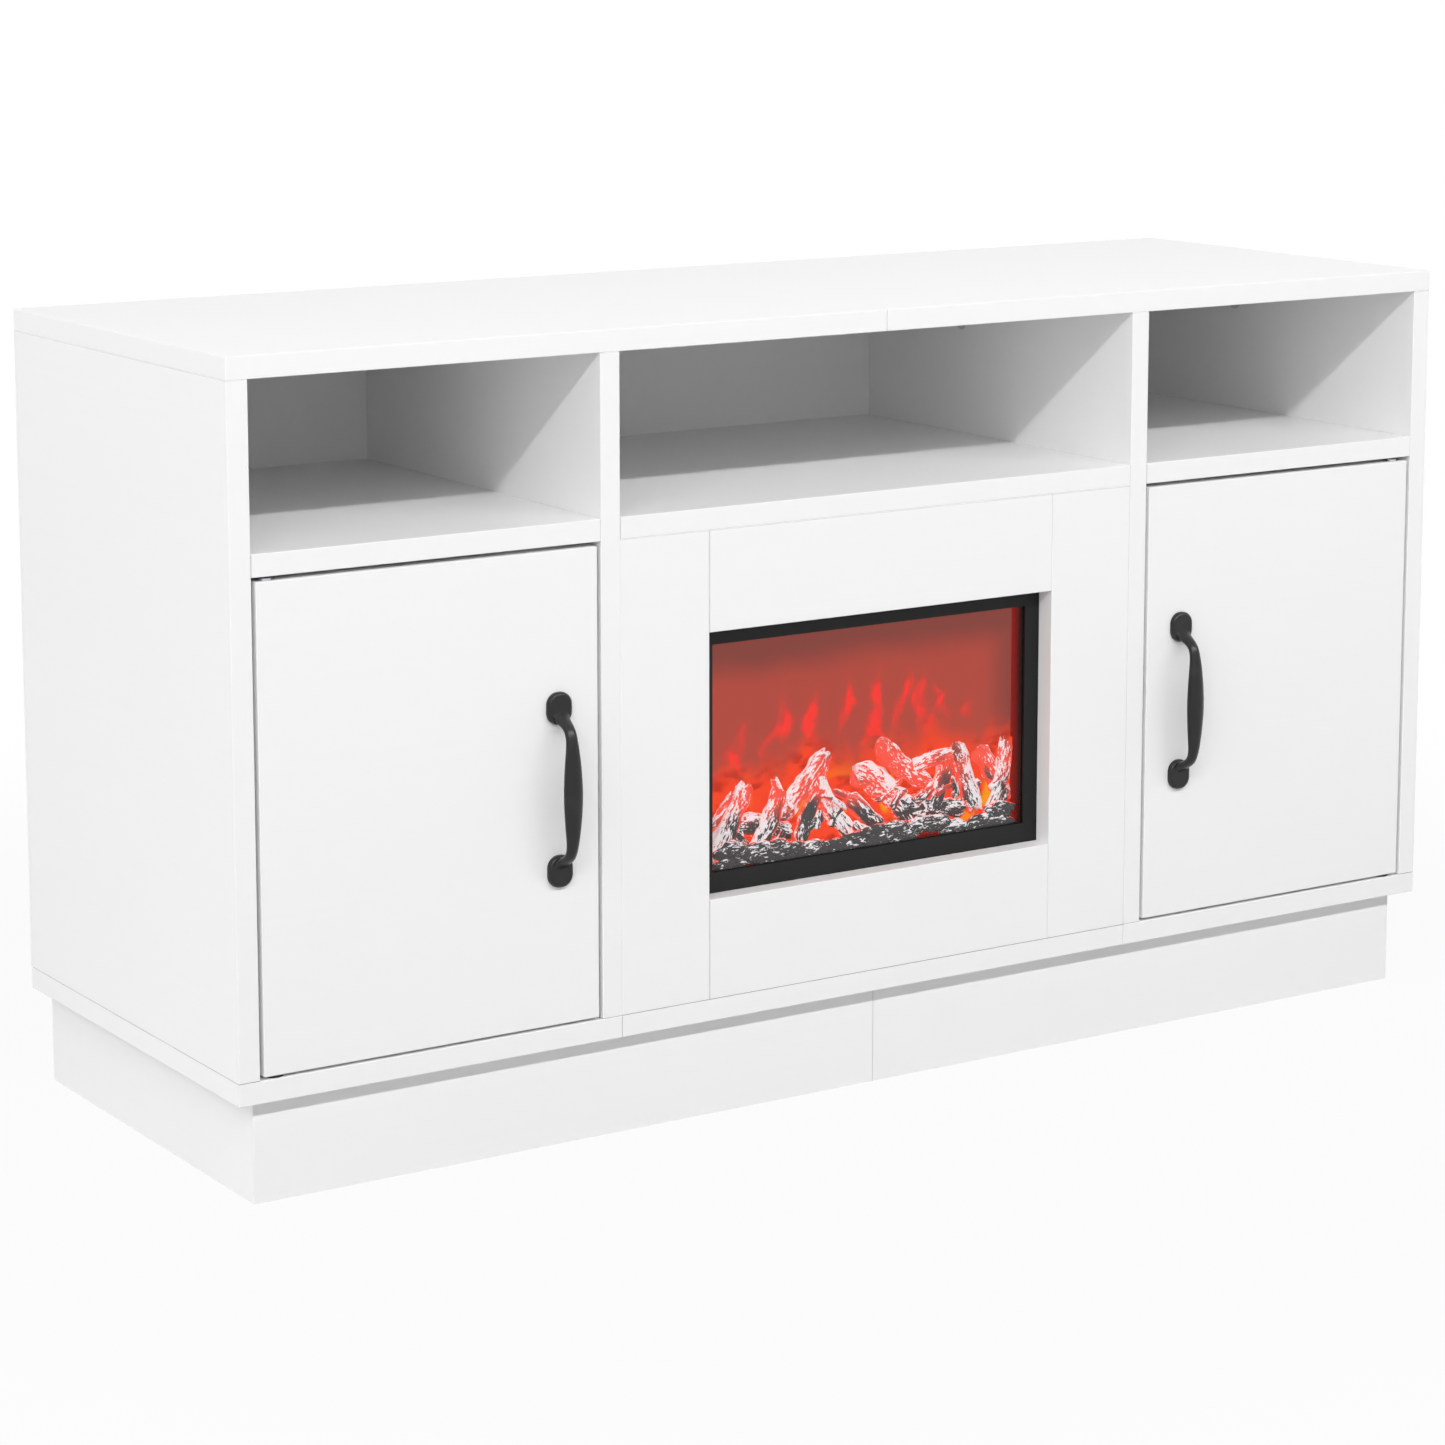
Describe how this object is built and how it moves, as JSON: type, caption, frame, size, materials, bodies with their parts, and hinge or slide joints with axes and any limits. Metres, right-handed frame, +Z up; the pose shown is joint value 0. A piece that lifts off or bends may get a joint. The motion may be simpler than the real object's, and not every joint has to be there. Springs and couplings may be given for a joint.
{
  "type": "fireplace tv stand",
  "caption": "Low white cabinet for a television, with open shelves, inset doors on pivot pins, bow handles and a glazed electric flame-effect fire framed between the doors.",
  "frame": {"origin": "on the floor, in the middle of the carcass's width and depth", "axes": "+X to the right seen from the front, +Y to the back, +Z up"},
  "size_m": [1, 0.3548, 0.55],
  "materials": {
    "white_board": "white melamine-coated board with a faint grain emboss",
    "white_back": "white-faced hardboard",
    "raw_pine": "planed, uncoated",
    "beech_dowel": "fluted, uncoated",
    "zinc_steel": "bright zinc plating",
    "white_nylon": "moulded",
    "black_handle": "satin black enamel on a casting",
    "black_sheet": "fine-textured black powder coat",
    "clear_glass": "polished float glass",
    "flame_acrylic": "back-lit diffusing acrylic",
    "log_resin": "painted charred bark with pale ash",
    "ember_resin": "painted coals, lit from below",
    "circuit_board": "white solder mask",
    "mirror_foil": "mirrored foil on thin sheet",
    "black_plastic": "moulded"
  },
  "bodies": {
    "carcass": {"back_panel_center": "white_back", "back_panel_left": "white_back", "back_panel_nails": "zinc_steel", "back_panel_right": "white_back", "base_panel_center": "white_board", "base_panel_left": "white_board", "base_panel_right": "white_board", "base_screws": "zinc_steel", "cam_bolts": "zinc_steel", "cam_locks": "zinc_steel", "catch_housings": "white_nylon", "ember_bed": "ember_resin", "fire_bezel": "black_sheet", "fire_glass": "clear_glass", "fire_housing": "black_sheet", "fire_rear_cover": "black_sheet", "flame_screen": "flame_acrylic", "led_board": "circuit_board", "log_set": "log_resin", "pan_screws": "zinc_steel", "partition_left": "white_board", "partition_right": "white_board", "pivot_bushes": "black_plastic", "plinth_back": "white_board", "plinth_brace": "white_board", "plinth_corner_blocks": "raw_pine", "plinth_front_left": "white_board", "plinth_front_right": "white_board", "plinth_side_left": "white_board", "plinth_side_right": "white_board", "power_socket": "black_plastic", "shelf_center": "white_board", "shelf_left": "white_board", "shelf_right": "white_board", "side_panel_left": "white_board", "side_panel_right": "white_board", "spindle_bearing": "black_plastic", "spindle_motor": "black_plastic", "surround_brackets": "zinc_steel", "surround_rail_bottom": "white_board", "surround_rail_top": "white_board", "surround_stile_left": "white_board", "surround_stile_right": "white_board", "switch_frame": "black_plastic", "top_joining_plate": "zinc_steel", "top_panel_left": "white_board", "top_panel_right": "white_board", "wood_dowels": "beech_dowel"},
    "door_left": {"door_left": "white_board", "handle_left": "black_handle", "handle_screws_left": "zinc_steel", "pivot_pins_left": "zinc_steel", "strike_plate_left": "zinc_steel"},
    "door_right": {"door_right": "white_board", "handle_right": "black_handle", "handle_screws_right": "zinc_steel", "pivot_pins_right": "zinc_steel", "strike_plate_right": "zinc_steel"},
    "flame_spindle": {"flame_spindle": "mirror_foil"},
    "switch_rocker": {"switch_rocker": "black_plastic"}
  },
  "joints": [
    {"name": "door_left_hinge", "type": "hinge", "parent": "carcass", "child": "door_left", "pos_m": [-0.472, -0.1575, 0.087], "axis": [0, 0, -1], "range_deg": [0, 100]},
    {"name": "door_right_hinge", "type": "hinge", "parent": "carcass", "child": "door_right", "pos_m": [0.472, -0.1575, 0.087], "axis": [0, 0, 1], "range_deg": [0, 100]},
    {"name": "flame_spindle_turn", "type": "hinge", "parent": "carcass", "child": "flame_spindle", "pos_m": [0, -0.092, 0.192], "axis": [1, 0, 0], "continuous": true},
    {"name": "switch_rocker_tilt", "type": "hinge", "parent": "carcass", "child": "switch_rocker", "pos_m": [-0.045, -0.049, 0.178], "axis": [1, 0, 0], "range_deg": [0, 15]}
  ]
}
